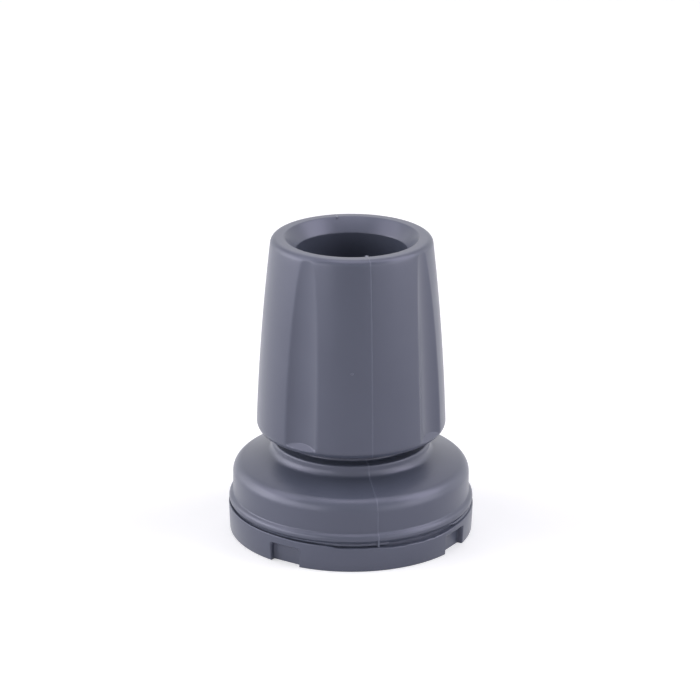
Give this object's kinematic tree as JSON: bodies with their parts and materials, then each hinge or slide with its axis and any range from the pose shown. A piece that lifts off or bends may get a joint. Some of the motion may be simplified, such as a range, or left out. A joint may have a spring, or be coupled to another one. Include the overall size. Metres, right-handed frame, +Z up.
{
  "type": "rubber cane tip",
  "caption": "Push-on rubber tip for the end of a cane: a fluted tapered sleeve with a blind bore, on a short neck and a wide round foot with a notched tread.",
  "frame": {"origin": "centre of the tread's underside, on the floor", "axes": "+Z up along the shaft's axis; the mould's parting line lies in the YZ plane, and the flutes and tread notches stand midway between the X and Y axes"},
  "size_m": [0.0428, 0.0428, 0.053],
  "materials": {
    "rubber": "matte moulded rubber"
  },
  "bodies": {
    "root": {"cane_tip": "rubber"}
  },
  "joints": []
}
